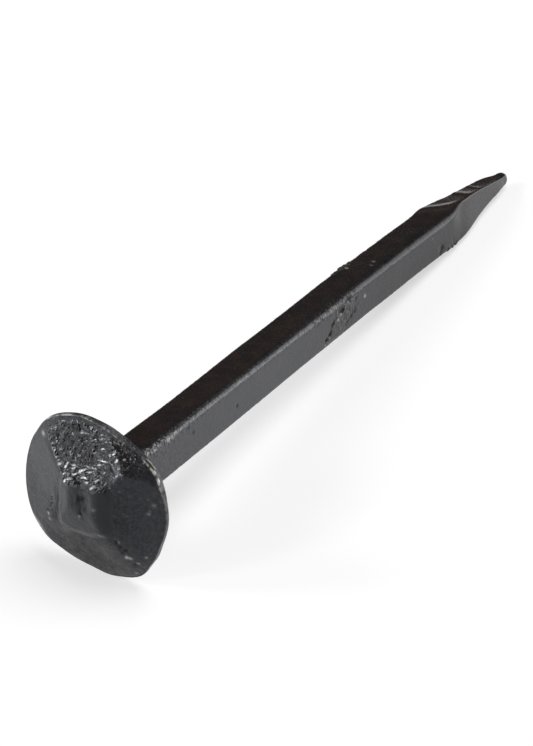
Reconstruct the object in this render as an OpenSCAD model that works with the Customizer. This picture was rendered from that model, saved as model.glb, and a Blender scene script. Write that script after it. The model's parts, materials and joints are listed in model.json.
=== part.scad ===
// Forged spike with a broad hammered head, in millimetres, +Z up.
// It lies as it would be put down on a bench, with the head towards -Y and the point towards +Y.
// Its axis is in the YZ plane, and it rests on one flat of the head's rim and on the lower edge of the shank.
// The origin is the centre of the head's flat underside, on the axis of the shank.

/* [Shank] */
// Width of the square bar across its flats
shank_w = 8; // [7:0.5:10]
// Radius of the long edges of the bar
edge_r = 0.9; // [0.4:0.1:1.4]
// Length from the underside of the head to the end of the point
under_head = 169.5; // [150:0.5:200]
// Length of the point, from where the taper starts to its end
point_len = 31; // [20:1:45]
// Width of the point where the blunt nose starts
nose_w = 2.2; // [1.8:0.1:3.6]
// Length of the blunt nose
nose_len = 1.2; // [0.6:0.1:2]
// Turn of the bar about its own axis, against the head
shank_turn = 8.7; // [0:0.1:15]

/* [Head] */
// Distance from the axis to the four rounded corners of the head
corner_reach = 17; // [16.6:0.1:18]
// Distance from the axis to the flat that the head rests on
rest_reach = 16.1; // [15.8:0.1:16.4]
// Thickness of the rim at the flats
rim_t = 1.2; // [0.8:0.1:2]
// Thickness of the head at its flat crown
crown_t = 4.9; // [4:0.1:6]
// Width of the flat crown
crown_w = 11; // [10.5:0.5:13]
// Rise of the sloping corners for each millimetre towards the axis
corner_slope = 0.5; // [0.45:0.01:0.6]

/* [Joint] */
// Width of the tenon where it comes out at the crown
tenon_w = 7; // [6:0.1:7]
// Width of the peened pad where it lies on the crown
pad_w = 10; // [9:0.1:10.4]
// Height of the peened pad above the crown
pad_h = 0.6; // [0.3:0.1:1]

/* [Scale] */
// Thickness of the crust on the head, along the axis
crust_t = 0.5; // [0.2:0.05:0.8]
// Thickness of the scabs on the shank
scab_t = 0.35; // [0.2:0.05:0.6]

/* [Hidden] */
$fn = 96;
bar_half = shank_w / 2;
bar_len = under_head - point_len;
nose_end_w = nose_w / 2;

// The other three flats of the rim, each by its bearing (from +X towards +Z) and its distance from the axis
side_flats = [[-18, 15.7], [69, 16.1], [174, 15.6]];
rest_bearing = -90;

// Where the sloping facets would meet the plane of the underside
facet_reach = 16;
facet_run = (facet_reach - crown_w / 2) / (crown_t - rim_t);
facet_base = facet_reach + rim_t * facet_run;
cone_base = corner_reach + rim_t / corner_slope;

// Half widths at stations along the axis: of the shank, of the head's facets and of the peened pad,
// whose edges slope at 45 degrees
shank_profile = [
    [-crown_t, tenon_w / 2], [0, bar_half], [bar_len, bar_half],
    [under_head - nose_len, nose_w / 2], [under_head, nose_end_w / 2]
];
facet_profile = [[-crown_t, crown_w / 2], [0, facet_base]];
pad_profile = [[-crown_t - pad_h, pad_w / 2 - pad_h], [-crown_t, pad_w / 2]];

// How far the lowest long edge of the turned bar or nose hangs below the axis, and the tilt that follows
turn_spread = cos(shank_turn) + sin(shank_turn);
bar_drop = (bar_half - edge_r) * turn_spread + edge_r;
nose_drop = nose_w / 2 * turn_spread;
bar_tilt = atan((rest_reach - bar_drop) / bar_len);
nose_tilt = atan((rest_reach - nose_drop) / (under_head - nose_len));
tilt = min(bar_tilt, nose_tilt);

// Corners of the crust on the upper facet, right of the axis and above it
crust_corners = [[-5, 5.2], [-9, 11.4], [-5.6, 14], [0.5, 14.8], [5.4, 14.4], [8.6, 11.6], [5, 5.2]];
// The slanting scab on the right face: the station of its middle, its width along the bar,
// how far its top lies nearer the point than its bottom, and its reach from the middle of the face
band_at = 0.6 * bar_len;
band_w = 5.5;
band_lean = 8;
band_reach = bar_half - edge_r;
// Scabs that wrap a long edge: the station where each starts, its length, and its width over the edge
edge_scab_w = 1.6;
upper_scab = [0.68 * bar_len, 5];
lower_scab = [bar_len - 7, 5.5];
// Margin by which cutting blocks pass what they cut
over = 1;

// Carries what is built along the Y axis to the lying position
module lying() {
    rotate([-tilt, 0, 0]) children();
}

// Turns what belongs to the bar about the axis of the spike
module turned() {
    rotate([0, -shank_turn, 0]) children();
}

// Extrudes an outline, drawn as right and up seen from the front, along -Y from the underside of the head
module towards_front(depth) {
    rotate([90, 0, 0]) linear_extrude(depth) children();
}

// Four-sided body on the Y axis, from its half widths at stations along the axis
module four_sided(profile) {
    widest = max([for (p = profile) p[1]]);
    right = [for (p = profile) [p[1], p[0]]];
    left = [for (i = [len(profile) - 1:-1:0]) [-profile[i][1], profile[i][0]]];
    intersection_for (quarter = [0, 90])
        rotate([0, quarter, 0])
            linear_extrude(2 * widest + over, center = true) polygon(concat(right, left));
}

// Section of the bar: a square with round corners
module bar_section() {
    square([shank_w, shank_w - 2 * edge_r], center = true);
    square([shank_w - 2 * edge_r, shank_w], center = true);
    for (x = [-1, 1], y = [-1, 1])
        translate([x * (bar_half - edge_r), y * (bar_half - edge_r)]) circle(edge_r);
}

// The bar with its tenon and point, without the peened pad
module bar() {
    turned() intersection() {
        four_sided(shank_profile);
        translate([0, under_head, 0]) towards_front(under_head + crown_t) bar_section();
    }
}

// Outline of the head: a circle with four flats
module head_outline() {
    difference() {
        circle(corner_reach);
        for (flat = concat(side_flats, [[rest_bearing, rest_reach]]))
            rotate(flat[0]) translate([flat[1], -corner_reach]) square(2 * corner_reach);
    }
}

// Upper side of the head: four facets, with the corners between them sloped off
module head_top() {
    intersection() {
        four_sided(facet_profile);
        rotate([90, 0, 0]) cylinder(h = crown_t, r1 = cone_base, r2 = cone_base - crown_t / corner_slope);
    }
}

module shank() {
    color([0.16, 0.15, 0.15]) lying() {
        bar();
        four_sided(pad_profile);
    }
}

module head_plate() {
    color([0.22, 0.22, 0.23]) lying() difference() {
        intersection() {
            towards_front(crown_t) head_outline();
            head_top();
        }
        bar();
    }
}

module head_scale() {
    color([0.3, 0.3, 0.31]) lying() difference() {
        intersection() {
            translate([0, -crust_t, 0]) head_top();
            towards_front(crown_t + crust_t) polygon(crust_corners);
        }
        head_top();
    }
}

// A scab that wraps the long edge of the bar on the given sides of the axis
module edge_scab(place, side_x, side_z) {
    difference() {
        translate([side_x * (bar_half + scab_t - edge_scab_w / 2), place[0] + place[1] / 2,
                   side_z * (bar_half + scab_t - edge_scab_w / 2)])
            cube([edge_scab_w, place[1], edge_scab_w], center = true);
        rotate([0, shank_turn, 0]) bar();
    }
}

module shank_scale() {
    color([0.26, 0.24, 0.23]) lying() turned() {
        translate([bar_half, 0, 0]) rotate([0, 90, 0]) linear_extrude(scab_t)
            polygon([for (end = [[-1, -1], [-1, 1], [1, 1], [1, -1]])
                [end[0] * band_reach, band_at + (end[1] * band_w - end[0] * band_lean) / 2]]);
        edge_scab(upper_scab, -1, 1);
        edge_scab(lower_scab, 1, -1);
    }
}

shank();
head_plate();
head_scale();
shank_scale();
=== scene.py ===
import json
import math

import bpy
import numpy as np
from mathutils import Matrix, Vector, noise


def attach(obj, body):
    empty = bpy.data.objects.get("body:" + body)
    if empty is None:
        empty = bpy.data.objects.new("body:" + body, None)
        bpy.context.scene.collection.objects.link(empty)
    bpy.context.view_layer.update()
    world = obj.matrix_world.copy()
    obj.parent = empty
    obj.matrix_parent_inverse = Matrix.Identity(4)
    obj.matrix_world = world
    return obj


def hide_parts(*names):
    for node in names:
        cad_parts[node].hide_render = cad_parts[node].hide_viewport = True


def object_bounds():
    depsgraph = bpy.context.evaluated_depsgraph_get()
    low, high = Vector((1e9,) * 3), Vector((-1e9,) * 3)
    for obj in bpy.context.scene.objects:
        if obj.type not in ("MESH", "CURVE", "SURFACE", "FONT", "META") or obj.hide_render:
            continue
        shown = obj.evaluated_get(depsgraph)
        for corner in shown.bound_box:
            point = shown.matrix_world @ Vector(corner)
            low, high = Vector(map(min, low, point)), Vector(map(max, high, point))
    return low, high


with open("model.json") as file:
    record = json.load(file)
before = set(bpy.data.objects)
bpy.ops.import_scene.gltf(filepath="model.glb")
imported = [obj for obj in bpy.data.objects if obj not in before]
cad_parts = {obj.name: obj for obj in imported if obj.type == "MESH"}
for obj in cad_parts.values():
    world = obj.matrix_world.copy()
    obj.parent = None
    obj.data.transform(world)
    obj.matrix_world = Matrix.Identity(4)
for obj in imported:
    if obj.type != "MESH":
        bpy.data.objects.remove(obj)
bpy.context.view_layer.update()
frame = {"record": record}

# Lengths below are in millimetres. The spike's own frame has its axis along +Y, from the head's underside
# at the origin to the point, with x to the right and z up seen from the front; lay() tilts it onto the bench.
MM = 0.001
SEAT_AXIS = next(m["axis"] for m in frame["record"]["mounts"] if m["name"] == "head_seat")
TILT = math.atan2(-SEAT_AXIS[2], SEAT_AXIS[1])
BAR_TURN = math.radians(8.7)

# Forms of the tables below. On the head: spots (right, up, radius, strength), ovals (right, up, half width,
# half height, strength) and flakes (right, up, half length, half width, bearing, strength). On the bar:
# spots (station, turn, radius, strength) and marks (station, turn, reach along, reach round, strength).
# Bearings are in degrees from right towards up, turns are explained at bar_point. Grains: (depth, size,
# octaves, offset of the noise). Bands: (middle, half width). Spans: where something starts and ends to come
# in, or to go out.

# Camera, from the vanishing lines of the bar
CAMERA_AT = (198.68, -258.26, 257.89)
CAMERA_AZIMUTH = 31.981
CAMERA_ELEVATION = 35.361
CAMERA_LENS = 106.41
SENSOR = 36.0

# Bar: where the four long edges would meet if they were sharp, each as (station, right, up),
# in the bar's own turned frame: right top, left top, left bottom, right bottom
EDGE_TRACKS = (
    ((0, 4, 3.95), (35, 4, 3.88), (63, 4, 3.9), (105, 4, 3.8), (122, 4, 3.64), (133, 4, 3.42),
     (138, 3.9, 3.3), (142, 2.6, 3.4), (150, 2.35, 2.95), (157, 2.2, 2.05), (163, 1.95, 1.05),
     (165.4, 1.75, 0.6)),
    ((0, -4.2, 4.2), (20, -4.13, 4.13), (30, -4.05, 4.05), (42, -4.11, 4.11), (56, -4.23, 4.23),
     (66, -4.18, 4.18), (80, -4.23, 4.23), (90, -4.3, 4.3), (100, -4.21, 4.19), (110, -4.13, 4.09),
     (120, -4.09, 4.04), (127, -3.97, 3.94), (137, -3.88, 3.92), (142, -3.23, 3.48), (146, -2.62, 3.12),
     (150, -2.28, 2.86), (154, -1.96, 2.58), (160, -1.25, 2.25), (164, -0.4, 1.6), (165.4, 0.0, 1.2)),
    ((0, -4, -4), (138, -3.9, -4), (150, -2.5, -3.2), (160, -1.2, -2.1), (165.4, -0.1, -1.2)),
    ((0, 4.33, -4.33), (35, 4.3, -4.3), (50, 4.24, -4.24), (65, 4.17, -4.17), (98, 4.15, -4.15),
     (104, 4.24, -4.24), (118, 4.25, -4.25), (130, 4.4, -4.4), (138, 4.42, -4.42), (142, 4.28, -4.26),
     (146, 3.84, -3.64), (150, 3.33, -3.12), (154, 2.99, -2.62), (158, 2.76, -2.12), (162, 2.64, -1.82),
     (165.4, 2.3, -1.35)),
)
# Radius of the right top edge, which is the most worn, and of the other three
WORN_RADIUS = (
    (0, 1.3), (60, 1.45), (105, 1.85), (122, 2.1), (133, 2.1), (139, 1.5), (144, 0.6), (150, 0.45),
    (165.4, 0.35),
)
EDGE_RADIUS = ((0, 0.5), (130, 0.5), (150, 0.45), (165.4, 0.35))
# Where the rounded nose starts and ends, and its middle as (right, up)
NOSE_AT = 165.4
BAR_END = 168.9
NOSE_MIDDLE = (1.0, 0.2)

# Head: rim outline as (bearing, reach), and degrees over which it is eased
HEAD_OUTLINE = (
    (-165, 16.3), (-145, 15.85), (-122, 16.05), (-94, 16.12), (-72, 17.08), (-54, 17.8), (-35, 16.7),
    (-18, 16.1), (10, 16.44), (37, 17.2), (66, 16.44), (84, 16.62), (105, 17.05), (125, 17.22), (147, 16.4),
    (170, 16.2),
)
OUTLINE_SOFTNESS = 4.0
CROWN = 4.9
# Facets: bearing, distance from the axis to the crown's edge, and slope
FACETS = ((1, 6.9, 0.41), (101, 5.8, 0.337), (168, 5.64, 0.41), (-91, 5.5, 0.333))
# Corners between the facets: thickness at the rim, reach and slope, and the one that is thicker: its
# bearing, half its width in degrees and how much it has more
CORNER_RIM = 1.25
CORNER_REACH = 17.0
CORNER_SLOPE = 0.66
THICK_CORNER = (-137, 34, 0.4)
# Softness of the ridges between the facets, and the one that is rounder: its bearing, half its width in
# degrees and how much it has more
RIDGE_SOFTNESS = 0.09
ROUND_RIDGE = (-46, 32, 0.2)
# Roundings of the rim
RIM_FRONT_ROUND = 0.32
RIM_BACK_ROUND = 0.3
# Dents in the facets, as spots
HEAD_DENTS = (
    (10.4, 9.9, 2.2, 0.2), (10.5, 7.2, 3.0, 0.12), (2.0, -11.0, 4.0, 0.12), (-11.0, 2.0, 4.5, 0.08),
    (-7.3, -1.4, 0.45, 0.11), (-6.9, -2.1, 0.4, 0.1), (-7.5, -2.7, 0.5, 0.12), (-7.0, -3.8, 0.4, 0.1),
    (-7.9, -4.5, 0.45, 0.1), (7.6, -5.4, 0.5, 0.12), (8.3, -6.4, 0.5, 0.14), (9.3, -6.9, 0.55, 0.14),
    (8.6, -7.7, 0.4, 0.1), (10.2, -8.3, 0.4, 0.1), (10.6, -10.4, 0.5, 0.1), (9.1, -9.2, 0.4, -0.1),
)
# Grain of the plate
PLATE_GRAIN = ((0.09, 5.0, 1, 0.0), (0.03, 1.5, 3, 31.0))
# Rough ridge at the lower right: its ends, half its width and its grain
ROUGH_RIDGE = ((6.8, -4.8), (12.3, -12.6), 1.3, (0.08, 0.9, 2, 60.0))

# Peened pad at the crown: outline as (bearing, reach), and degrees over which it is eased
PAD_OUTLINE = (
    (-130, 8.0), (-112, 7.6), (-92, 6.8), (-55, 7.1), (-42, 8.0), (0, 6.8), (45, 8.6), (90, 6.3), (135, 7.4),
    (152, 6.6), (180, 5.85), (-147, 7.0),
)
PAD_SOFTNESS = 6.0
# The height of its top and foot, the rounding between its sides, and the sides: bearing, reach at the foot,
# slope
PAD_TOP = 6.3
PAD_FOOT = 4.75
PAD_ROUNDING = 0.1
PAD_SIDES = ((0, 7.0, 0.40), (90, 6.9, 0.60), (178, 6.0, 0.41), (-90, 6.9, 0.25))
# Width over which it runs out into the plate, the least that it stands above the plate, and the height and
# width of the step at its edge
PAD_RUNOUT = 1.5
PAD_LEAST = 0.02
PAD_EDGE, PAD_EDGE_WIDTH = 0.015, 0.2
# A lip at the lower left of its edge: bearing, half its length in degrees, height, distance from the edge,
# half width
PAD_LIP = (-118, 34, 0.1, 0.5, 0.3)
# Its grain, the place of its noise, and its hammer marks as ovals
PAD_GRAIN = ((0.05, 2.4, 2, 0.0), (0.02, 0.9, 2, 11.0))
PAD_SEED = 7.0
PAD_MARKS = (
    (1.0, 2.0, 1.5, 3.1, 0.72), (0.5, -1.1, 0.5, 0.6, 0.2), (0.6, 2.5, 0.6, 0.9, 0.1),
    (3.5, 1.1, 0.35, 0.45, -0.10), (0.1, -1.8, 0.35, 0.35, -0.06), (1.2, -3.6, 2.4, 0.7, 0.05),
)
# Light spots on it, and dark spots of painted shade in its dents
PAD_CHIPS = ((3.5, 1.1, 0.35, 0.3), (0.15, -1.8, 0.3, 0.35), (1.9, 4.6, 0.25, 0.12))
PAD_DARK = ((0.5, -1.1, 0.45, 0.8), (0.3, 2.0, 0.5, 0.5))
# Its dull left and lower edges, as bands
PAD_LEFT, PAD_LOWER = (-5.2, 0.7), (-5.4, 0.9)
# Its groove, darkened with painted shade, and its streaks, as ovals; the least depth of the streaks, their
# grain and stretch
PAD_GROOVE = (0.1, 1.6, 1.5, 3.2, 1.0)
PAD_STREAKS = (1.0, 2.1, 2.55, 3.2, 0.05)
STREAKS_LEAST = 0.02
STREAKS_GRAIN, STREAKS_STRETCH = (1.0, 0.55, 2, 23.0), (1.0, 0.3, 1.0)

# Crust of scale on the upper facet: outline (right, up)
CRUST_OUTLINE = (
    (-10.4, 11.4), (-8.6, 9.2), (-7.2, 7.5), (-6.2, 6.2), (-5.2, 5.1), (-4.4, 4.2), (-3.2, 3.8),
    (-2.0, 3.7), (-1.0, 4.3), (0.3, 4.8), (1.4, 4.7), (2.5, 4.4), (3.8, 4.4), (5.2, 4.7), (6.4, 5.8),
    (7.6, 7.2), (9.2, 8.8), (10.1, 10.4), (9.9, 12.6), (7.6, 14.4), (2.8, 16.2), (-2.0, 16.6), (-6.4, 15.9),
    (-9.7, 13.4),
)
# Its wrinkled places, as ovals
WRINKLED = (
    (-4.4, 7.0, 1.5, 0.9, 0.8), (-3.0, 4.9, 1.2, 0.9, 0.7), (0.4, 7.9, 2.4, 1.1, 1.0),
    (0.4, 5.9, 2.2, 0.8, 0.9), (3.6, 7.0, 1.4, 1.8, 0.8), (6.3, 12.2, 1.6, 1.2, 0.6),
    (4.4, 5.4, 1.0, 0.8, 0.7),
)
# Flakes in it, raised, and painted pale as glints
CRUST_GLINT_FLAKES = (
    (-9.2, 11.2, 0.3, 0.16, 60, 0.5), (-8.6, 10.7, 0.35, 0.17, 60, 0.6), (-8.0, 9.9, 0.3, 0.16, 55, 0.6),
    (-7.1, 8.9, 0.32, 0.18, 60, 0.7), (-6.5, 8.0, 0.3, 0.18, 50, 0.75), (-5.9, 7.5, 0.3, 0.15, 50, 0.55),
    (-5.6, 6.9, 0.7, 0.2, 35, 0.5), (-3.8, 7.7, 0.5, 0.2, 45, 0.75), (-4.1, 7.0, 0.45, 0.25, 50, 0.8),
    (-2.1, 7.9, 0.8, 0.2, 6, 0.5), (-2.2, 7.3, 0.5, 0.25, 40, 0.55), (-0.1, 7.8, 0.85, 0.24, 32, 0.85),
    (1.0, 8.8, 0.5, 0.17, 15, 0.6), (2.3, 8.85, 0.6, 0.17, -5, 0.5), (-0.6, 7.0, 0.4, 0.17, 30, 0.5),
    (4.5, 5.1, 0.4, 0.14, 60, 0.4), (5.1, 5.6, 0.4, 0.14, 60, 0.35), (8.3, 9.6, 0.3, 0.14, 20, 0.3),
    (8.1, 12.2, 0.25, 0.2, 0, 0.4), (8.9, 13.4, 0.25, 0.17, 40, 0.35), (7.6, 10.6, 0.3, 0.17, 60, 0.3),
    (1.5, 7.9, 0.6, 0.2, 15, 0.5), (-1.7, 6.4, 0.6, 0.2, 25, 0.7), (0.45, 6.45, 0.8, 0.25, 10, 0.95),
    (1.3, 5.9, 0.5, 0.25, 20, 0.6), (3.5, 7.0, 0.6, 0.25, 35, 0.6), (2.85, 5.6, 0.7, 0.28, 50, 1.3),
    (-2.4, 5.5, 0.6, 0.2, 5, 0.9), (-3.2, 4.9, 0.45, 0.25, 60, 0.9), (-4.1, 5.7, 0.4, 0.17, 40, 0.6),
    (-5.2, 5.2, 0.4, 0.2, 20, 0.5), (-8.1, 7.5, 0.4, 0.25, 30, 0.25), (-7.8, 9.0, 0.35, 0.3, 60, 0.25),
    (3.8, 10.7, 0.85, 0.17, 10, 0.9), (3.2, 9.8, 0.45, 0.2, 20, 0.6), (4.6, 8.9, 0.3, 0.17, 40, 0.4),
    (5.2, 6.9, 0.5, 0.14, 60, 0.35), (6.3, 6.4, 0.5, 0.14, 40, 0.25), (6.7, 11.7, 0.45, 0.2, 45, 0.7),
    (5.1, 12.3, 0.35, 0.2, 40, 0.55), (6.0, 12.9, 0.45, 0.2, 50, 0.6), (3.3, 12.8, 0.35, 0.17, 10, 0.4),
    (1.7, 11.6, 0.35, 0.14, 40, 0.4), (-0.8, 14.3, 0.35, 0.2, 20, 0.4), (-1.8, 14.1, 0.4, 0.14, 20, 0.35),
    (-3.8, 13.0, 0.45, 0.2, 0, 0.3), (-8.0, 13.0, 0.55, 0.2, 35, 0.35), (1.0, 13.7, 0.5, 0.17, 20, 0.35),
    (2.7, 14.5, 0.35, 0.2, 30, 0.35), (7.3, 9.1, 0.3, 0.25, 40, 0.35), (6.0, 10.6, 1.3, 0.2, -43, 0.2),
    (-1.5, 10.0, 0.3, 0.2, 0, 0.35),
)
# Dark slits in it, as flakes, sunk and darkened with painted shade
CRUST_SLITS = (
    (-8.1, 10.5, 0.6, 0.2, 128, 0.6), (-6.9, 9.4, 0.6, 0.22, 115, 0.7), (-6.0, 8.3, 0.5, 0.2, 115, 0.6),
    (0.35, 11.2, 0.3, 0.25, 0, 0.8), (-0.3, 10.2, 0.5, 0.2, 85, 0.6), (-3.7, 5.3, 0.6, 0.2, 80, 0.9),
    (-1.8, 4.9, 0.5, 0.25, 85, 0.8), (2.1, 6.0, 0.8, 0.28, 62, 1.0), (4.2, 6.5, 0.5, 0.2, 62, 0.9),
    (5.0, 6.1, 0.5, 0.2, 62, 0.9), (4.8, 5.3, 0.45, 0.17, 60, 0.9), (5.6, 6.4, 0.45, 0.17, 60, 0.8),
    (4.0, 5.6, 0.4, 0.17, 60, 0.8), (-5.6, 7.9, 0.4, 0.2, 70, 0.7), (-3.1, 7.3, 0.4, 0.2, 60, 0.8),
    (-1.3, 7.4, 0.5, 0.17, 45, 0.8), (-8.0, 9.8, 0.7, 0.2, -40, 0.6), (-6.8, 9.0, 0.7, 0.2, -45, 0.6),
    (-8.9, 10.6, 0.6, 0.2, -35, 0.5), (6.3, 9.7, 1.2, 0.2, -48, 0.6), (-3.6, 11.5, 1.1, 0.35, 85, 0.4),
    (-0.8, 12.2, 0.9, 0.3, 85, 0.4), (-5.0, 12.4, 0.9, 0.3, 75, 0.4), (-7.1, 11.8, 0.4, 0.2, 60, 0.5),
    (-2.4, 11.0, 0.8, 0.25, 75, 0.4), (0.7, 6.8, 0.7, 0.14, 20, 0.7), (-5.0, 9.9, 0.8, 0.25, 70, 0.4),
    (-5.7, 7.2, 0.6, 0.2, -50, 0.6), (-4.7, 6.1, 0.5, 0.2, -50, 0.7), (-9.3, 11.5, 0.5, 0.2, -40, 0.6),
)

FAR, TINY = 1e9, 1e-9
# The brown mask where the finish stays black
NO_RUST = -0.6
# How the octaves of a grain follow each other
GRAIN_FALL, GRAIN_STEP = 1.0, 2.0
# Lumps: how fast they fall off, the height of the lowest, and the factor that gives each a height of its own
LUMP_FALL, LUMP_LEAST, LUMP_SEED = 1.7, 0.35, 7.3
# Wrinkles: how fast they fall off and the depth between them; flakes: the share of the half width that is
# full
WRINKLE_STEEP, WRINKLE_FLOOR = 2.4, -0.5
FLAKE_WIDTH = 0.78
# How many places an outline is eased over, and how far ahead and back an edge of the bar is
OUTLINE_SAMPLES = 7
EDGE_SHIFTS = (-2.0, -1.0, 0.0, 1.0, 2.0)
# Share of each quarter of the bar's section that is an edge's arc, and steps for the slope of its skin
ARC_SHARE = 0.25
STATION_STEP, TURN_STEP = 0.3, 0.012


def smooth(low, high, value):
    """0 below low, 1 above high, eased between."""
    t = np.clip((value - low) / (high - low), 0, 1)
    return t * t * (3 - 2 * t)


def fade(low, high, value):
    """1 below low, 0 above high, eased between."""
    return 1 - smooth(low, high, value)


def bell(value, half, power=2):
    """1 where value is 0, falling off about half away on both sides, with a flatter top at a higher power."""
    return np.exp(-(value / half) ** power)


def within(value, band):
    """1 in the middle of a band, falling off to both sides."""
    return bell(value - band[0], band[1])


def bearing_of(x, z):
    """Bearing in degrees, from right towards up."""
    return np.degrees(np.arctan2(z, x))


def bearing_gap(bearing, middle):
    """Degrees from a middle bearing, the shorter way round."""
    return (bearing - middle + 180) % 360 - 180


def grain(points, size, octaves=1):
    """Smooth noise, about -1 to 1, with lumps about size apart."""
    places = (points / size).reshape(-1, 3).tolist()
    values = [noise.fractal(p, GRAIN_FALL, GRAIN_STEP, octaves) for p in places]
    return np.array(values).reshape(points.shape[:-1])


def grains(points, *layers):
    """Sum of grains."""
    return sum(depth * grain(points + offset, size, octaves) for depth, size, octaves, offset in layers)


def lumps(points, size):
    """Uneven lumps about size apart, 0 in the valleys between them and up to about 1 on the tops."""
    heights = []
    for place in (points / size).reshape(-1, 3).tolist():
        distances, centres = noise.voronoi(place)
        own = LUMP_LEAST + (1 - LUMP_LEAST) * noise.cell_vector(centres[0] * LUMP_SEED)[0]
        heights.append(max(0.0, 1.0 - LUMP_FALL * distances[0] ** 2) * own)
    return np.array(heights).reshape(points.shape[:-1])


def outline_reach(knots, bearings, soften):
    """Reach of a closed outline at bearings in degrees, eased between its knots."""
    knots = sorted(knots)
    at = np.array([b for b, _ in knots] + [knots[0][0] + 360.0])
    reach = np.array([r for _, r in knots] + [knots[0][1]])
    total = np.zeros(bearings.shape)
    for shift in np.linspace(-soften, soften, OUTLINE_SAMPLES):
        b = (bearings + shift - at[0]) % 360.0 + at[0]
        i = np.clip(np.searchsorted(at, b, side="right") - 1, 0, len(at) - 2)
        t = (b - at[i]) / (at[i + 1] - at[i])
        t = (1 - np.cos(np.pi * t)) / 2
        total += reach[i] * (1 - t) + reach[i + 1] * t
    return total / OUTLINE_SAMPLES


def segment_distance(start, end, x, z):
    """Distance to a straight line between two places."""
    ex, ez = end[0] - start[0], end[1] - start[1]
    t = np.clip(((x - start[0]) * ex + (z - start[1]) * ez) / (ex * ex + ez * ez), 0, 1)
    return np.hypot(x - start[0] - t * ex, z - start[1] - t * ez)


def signed_distance(outline, x, z):
    """Distance to a closed outline, positive inside it."""
    corners = np.array(outline, float)
    nearest = np.full(x.shape, FAR)
    inside = np.zeros(x.shape, bool)
    for (ax, az), (bx, bz) in zip(corners, np.roll(corners, -1, axis=0)):
        ex, ez = bx - ax, bz - az
        nearest = np.minimum(nearest, segment_distance((ax, az), (bx, bz), x, z))
        crosses = (az > z) != (bz > z)
        inside ^= crosses & (x < ex * (z - az) / (ez if ez else TINY) + ax)
    return np.where(inside, nearest, -nearest)


def ovals(x, z, marks):
    """Sum of soft ovals."""
    total = np.zeros(x.shape)
    for right, up, width, height, strength in marks:
        total += strength * np.exp(-(((x - right) / width) ** 2 + ((z - up) / height) ** 2))
    return total


def spots(x, z, marks):
    """Soft round spots, 0 to 1."""
    round_marks = [(right, up, size, size, strength) for right, up, size, strength in marks]
    return np.clip(ovals(x, z, round_marks), 0, 1)


def flakes(x, z, marks):
    """Long patches with soft ends."""
    total = np.zeros(x.shape)
    for right, up, length, width, bearing, strength in marks:
        along, over = side(x - right, z - up, bearing), side(x - right, z - up, bearing + 90)
        far = (along / length) ** 2 + (over / (FLAKE_WIDTH * width)) ** 2
        total = np.maximum(total, strength * np.exp(-far ** 2))
    return total


def wrinkles(x, z, bearing, length, width, seed):
    """Crests about width apart that run towards a bearing: 1 on them, down to WRINKLE_FLOOR between."""
    along, over = side(x, z, bearing), side(x, z, bearing + 90)
    points = np.stack([along / length, over / width, np.full_like(x, seed)], -1)
    return np.maximum(1 - WRINKLE_STEEP * np.abs(grain(points, 1.0, 2)), WRINKLE_FLOOR)


def soft_min(values, softness):
    """Smallest of the values, rounded where two of them meet."""
    values = np.stack(values)
    low = values.min(axis=0)
    return low - softness * np.log(np.exp(-(values - low) / softness).sum(axis=0))


def side(x, z, bearing):
    """Distance from the axis towards a bearing in degrees."""
    return x * math.cos(math.radians(bearing)) + z * math.sin(math.radians(bearing))


def by_ridge(x, z):
    """1 along the rough ridge of the head, 0 away from it."""
    start, end, half, _ = ROUGH_RIDGE
    return bell(segment_distance(start, end, x, z), half)


def plate_height(x, z):
    """Front of the head plate above its underside: four hammered facets round the crown."""
    around = bearing_of(x, z)
    facets = [CROWN - slope * (side(x, z, bearing) - start) for bearing, start, slope in FACETS]
    middle, half, more = THICK_CORNER
    corner_rim = CORNER_RIM + more * bell(bearing_gap(around, middle), half)
    cone = corner_rim + CORNER_SLOPE * (CORNER_REACH - np.hypot(x, z))
    middle, half, more = ROUND_RIDGE
    softness = RIDGE_SOFTNESS + more * bell(bearing_gap(around, middle), half, 4)
    height = soft_min([*facets, cone, np.full(x.shape, CROWN)], softness)
    height -= ovals(x, z, [(right, up, size, size, depth) for right, up, size, depth in HEAD_DENTS])
    points = np.stack([x, z, np.zeros_like(x)], -1)
    return height + grains(points, *PLATE_GRAIN) + by_ridge(x, z) * grains(points, ROUGH_RIDGE[3])


def pad_reach(x, z):
    """Reach of the pad's outline towards each place."""
    return outline_reach(PAD_OUTLINE, bearing_of(x, z), PAD_SOFTNESS)


def pad_height(x, z):
    """Front of the peened pad above the head's underside."""
    sides = [PAD_FOOT + slope * (foot - side(x, z, bearing)) for bearing, foot, slope in PAD_SIDES]
    height = soft_min([*sides, np.full(x.shape, PAD_TOP)], PAD_ROUNDING) - ovals(x, z, PAD_MARKS)
    points = np.stack([x, z, np.full_like(x, PAD_SEED)], -1)
    streaked = STREAKS_LEAST + ovals(x, z, [PAD_STREAKS])
    height += grains(points, *PAD_GRAIN) + streaked * grains(points * STREAKS_STRETCH, STREAKS_GRAIN)
    plate = plate_height(x, z)
    from_edge = np.maximum(pad_reach(x, z) - np.hypot(x, z), 0)
    above = np.maximum(height - plate, PAD_LEAST) * smooth(0.0, PAD_RUNOUT, from_edge)
    middle, half, rise, inset, width = PAD_LIP
    lip = rise * bell(bearing_gap(bearing_of(x, z), middle), half) * bell(from_edge - inset, width)
    return plate + above + lip + PAD_EDGE * smooth(0.0, PAD_EDGE_WIDTH, from_edge)


def front_height(x, z):
    """Whichever lies in front of the other, the head plate or the pad on it."""
    plate = plate_height(x, z)
    return np.where(np.hypot(x, z) < pad_reach(x, z), np.maximum(plate, pad_height(x, z)), plate)


def edge_at(track, station):
    """Place of one long edge along the bar, with its kinks softened."""
    knots = np.array(track, float)
    sums = [sum(np.interp(station + shift, knots[:, 0], column) for shift in EDGE_SHIFTS)
            for column in (knots[:, 1], knots[:, 2])]
    return np.stack(sums, -1) / len(EDGE_SHIFTS)


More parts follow.
